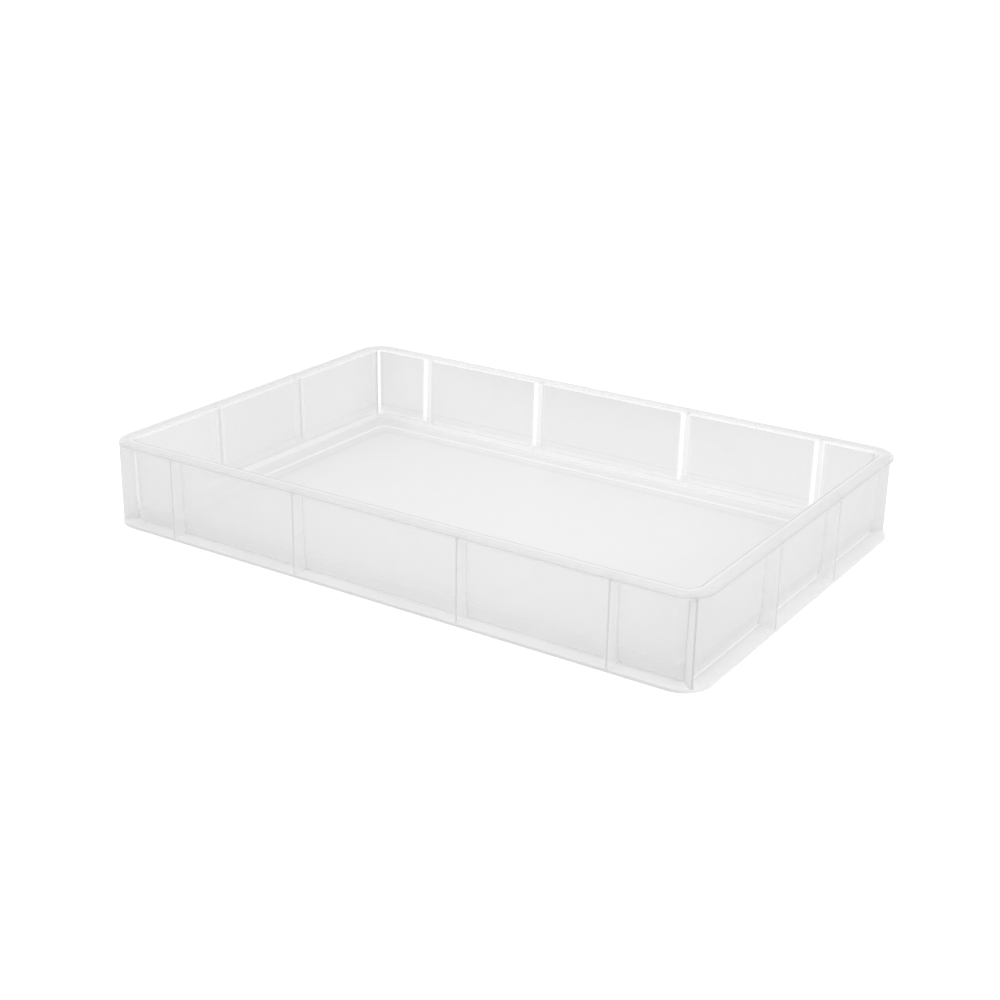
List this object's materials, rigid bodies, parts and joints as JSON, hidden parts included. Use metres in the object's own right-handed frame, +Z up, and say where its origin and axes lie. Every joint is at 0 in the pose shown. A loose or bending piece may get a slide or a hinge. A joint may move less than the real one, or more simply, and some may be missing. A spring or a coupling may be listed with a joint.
{
  "type": "dough proofing tray",
  "caption": "Shallow open rectangular tray in milky see-through plastic for proofing dough, with a flat rim, a base flange and upright stiffening fins round thin walls, so that it stacks.",
  "frame": {"origin": "middle of the underside, on the surface that the tray stands on", "axes": "+X along the long side, +Y across to the back, +Z up"},
  "size_m": [0.6, 0.4, 0.08],
  "materials": {
    "milky_plastic": "satin, milky and see-through, as moulded"
  },
  "bodies": {
    "root": {"floor_panel": "milky_plastic", "floor_border": "milky_plastic", "flange_front": "milky_plastic", "flange_right": "milky_plastic", "flange_back": "milky_plastic", "flange_left": "milky_plastic", "flange_corner_back_right": "milky_plastic", "flange_corner_back_left": "milky_plastic", "flange_corner_front_left": "milky_plastic", "flange_corner_front_right": "milky_plastic", "wall_foot_front": "milky_plastic", "wall_foot_right": "milky_plastic", "wall_foot_back": "milky_plastic", "wall_foot_left": "milky_plastic", "wall_foot_corner_back_right": "milky_plastic", "wall_foot_corner_back_left": "milky_plastic", "wall_foot_corner_front_left": "milky_plastic", "wall_foot_corner_front_right": "milky_plastic", "wall_front": "milky_plastic", "wall_right": "milky_plastic", "wall_back": "milky_plastic", "wall_left": "milky_plastic", "wall_corner_back_right": "milky_plastic", "wall_corner_back_left": "milky_plastic", "wall_corner_front_left": "milky_plastic", "wall_corner_front_right": "milky_plastic", "rim_front": "milky_plastic", "rim_right": "milky_plastic", "rim_back": "milky_plastic", "rim_left": "milky_plastic", "rim_corner_back_right": "milky_plastic", "rim_corner_back_left": "milky_plastic", "rim_corner_front_left": "milky_plastic", "rim_corner_front_right": "milky_plastic", "fin_front_1": "milky_plastic", "fin_front_2": "milky_plastic", "fin_front_3": "milky_plastic", "fin_front_4": "milky_plastic", "fin_right_1": "milky_plastic", "fin_right_2": "milky_plastic", "fin_back_1": "milky_plastic", "fin_back_2": "milky_plastic", "fin_back_3": "milky_plastic", "fin_back_4": "milky_plastic", "fin_left_1": "milky_plastic", "fin_left_2": "milky_plastic", "fin_corner_back_right": "milky_plastic", "fin_corner_back_left": "milky_plastic", "fin_corner_front_left": "milky_plastic", "fin_corner_front_right": "milky_plastic"}
  },
  "joints": []
}
